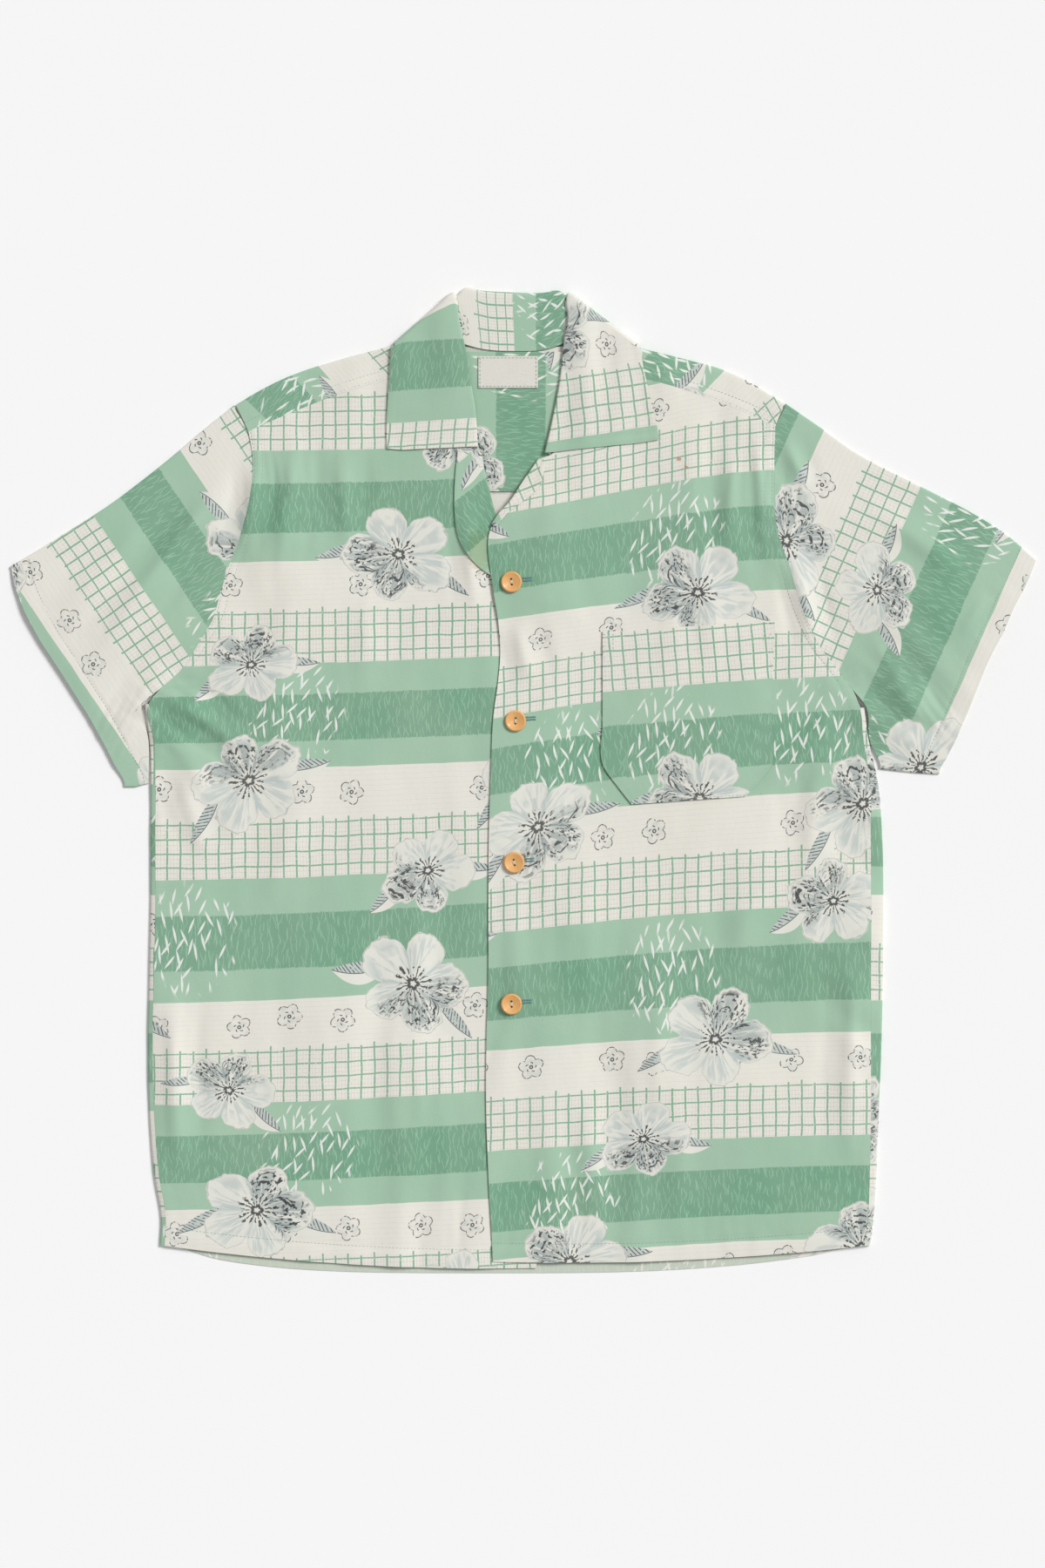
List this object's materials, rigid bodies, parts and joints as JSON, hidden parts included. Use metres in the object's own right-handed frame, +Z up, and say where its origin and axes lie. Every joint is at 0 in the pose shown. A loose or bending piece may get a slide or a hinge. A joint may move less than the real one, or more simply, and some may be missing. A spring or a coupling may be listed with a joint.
{
  "type": "hawaiian shirt",
  "caption": "Short-sleeved camp-collar shirt in striped print, buttoned and laid flat with its front up, with a chest pocket.",
  "frame": {"origin": "centre of the bounding box at the plane that the shirt lies on", "axes": "+X towards the wearer's left sleeve, +Y from the hem towards the collar, +Z up, out of the shirt's front"},
  "size_m": [0.7774, 0.7456, 0.0107],
  "materials": {
    "back_cloth": "woven cotton, printed on its face",
    "yoke_cloth": "woven cotton, printed on its face",
    "inner_yoke_cloth": "woven cotton, printed on its face",
    "right_front_cloth": "woven cotton, printed on its face",
    "left_front_cloth": "woven cotton, printed on its face",
    "right_sleeve_cloth": "woven cotton, printed on its face",
    "left_sleeve_cloth": "woven cotton, printed on its face",
    "collar_cloth": "woven cotton, printed on its face",
    "pocket_cloth": "woven cotton, printed on its face",
    "label_tape": "woven tape, bare",
    "buttons": "turned wood, satin, with a raised rim"
  },
  "bodies": {
    "root": {"back": "back_cloth", "yoke": "yoke_cloth", "inner_yoke": "inner_yoke_cloth", "right_front": "right_front_cloth", "left_front": "left_front_cloth", "right_sleeve": "right_sleeve_cloth", "left_sleeve": "left_sleeve_cloth", "collar": "collar_cloth", "pocket": "pocket_cloth", "label": "label_tape", "button_1": "buttons", "button_2": "buttons", "button_3": "buttons", "button_4": "buttons"}
  },
  "joints": []
}
